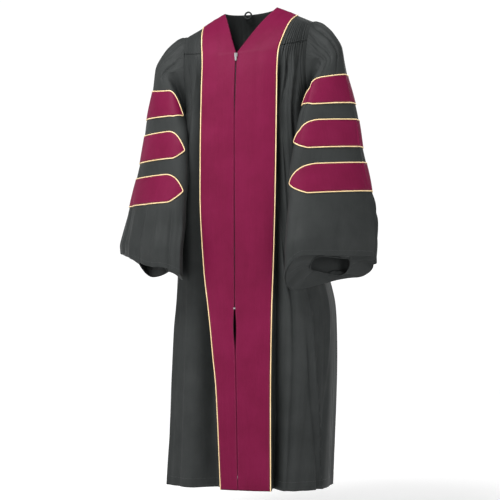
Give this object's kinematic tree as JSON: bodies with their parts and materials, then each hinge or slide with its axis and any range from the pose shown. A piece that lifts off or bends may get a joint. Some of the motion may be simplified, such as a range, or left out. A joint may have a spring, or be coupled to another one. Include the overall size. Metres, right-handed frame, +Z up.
{
  "type": "graduation gown",
  "caption": "Worn, open-necked doctoral graduation gown with long bell sleeves, contrasting front panels and pointed sleeve bars, piped edges and a front zip; hollow inside.",
  "frame": {"origin": "middle of the neck opening, level with the side neck points, where the wearer's shoulders carry the gown", "axes": "+Z up, -Y out of the front, +X to the wearer's left"},
  "size_m": [0.7896, 0.3994, 1.419],
  "materials": {
    "gown_cloth": "matte black woven cloth with a faint sheen",
    "trim_cloth": "maroon woven cloth, smooth and matte",
    "piping_cord": "pale gold corded piping",
    "zip_tape_cloth": "dark zip tape and coil",
    "zip_metal": "plain silver metal"
  },
  "bodies": {
    "gown": {"front_left": "gown_cloth", "front_right": "gown_cloth", "back": "gown_cloth", "yoke_front_left": "gown_cloth", "yoke_front_right": "gown_cloth", "yoke_back": "gown_cloth", "sleeve_left": "gown_cloth", "sleeve_right": "gown_cloth", "cuff_facing_left": "gown_cloth", "cuff_facing_right": "gown_cloth", "hanging_loop": "gown_cloth", "panel_left": "trim_cloth", "panel_right": "trim_cloth", "panel_piping_left": "piping_cord", "panel_piping_right": "piping_cord", "bar_left_1": "trim_cloth", "bar_left_2": "trim_cloth", "bar_left_3": "trim_cloth", "bar_right_1": "trim_cloth", "bar_right_2": "trim_cloth", "bar_right_3": "trim_cloth", "bar_piping_left_1": "piping_cord", "bar_piping_left_2": "piping_cord", "bar_piping_left_3": "piping_cord", "bar_piping_right_1": "piping_cord", "bar_piping_right_2": "piping_cord", "bar_piping_right_3": "piping_cord", "zip_tape": "zip_tape_cloth", "zip_stop": "zip_metal", "zip_slider": "zip_metal"},
    "pull_tab": {"zip_pull_tab": "zip_metal"}
  },
  "joints": [
    {"name": "pull_tab_swing", "type": "hinge", "parent": "gown", "child": "pull_tab", "pos_m": [-0.007, -0.12078, -0.14529], "axis": [-1, 0, 0], "range_deg": [0, 150]}
  ]
}
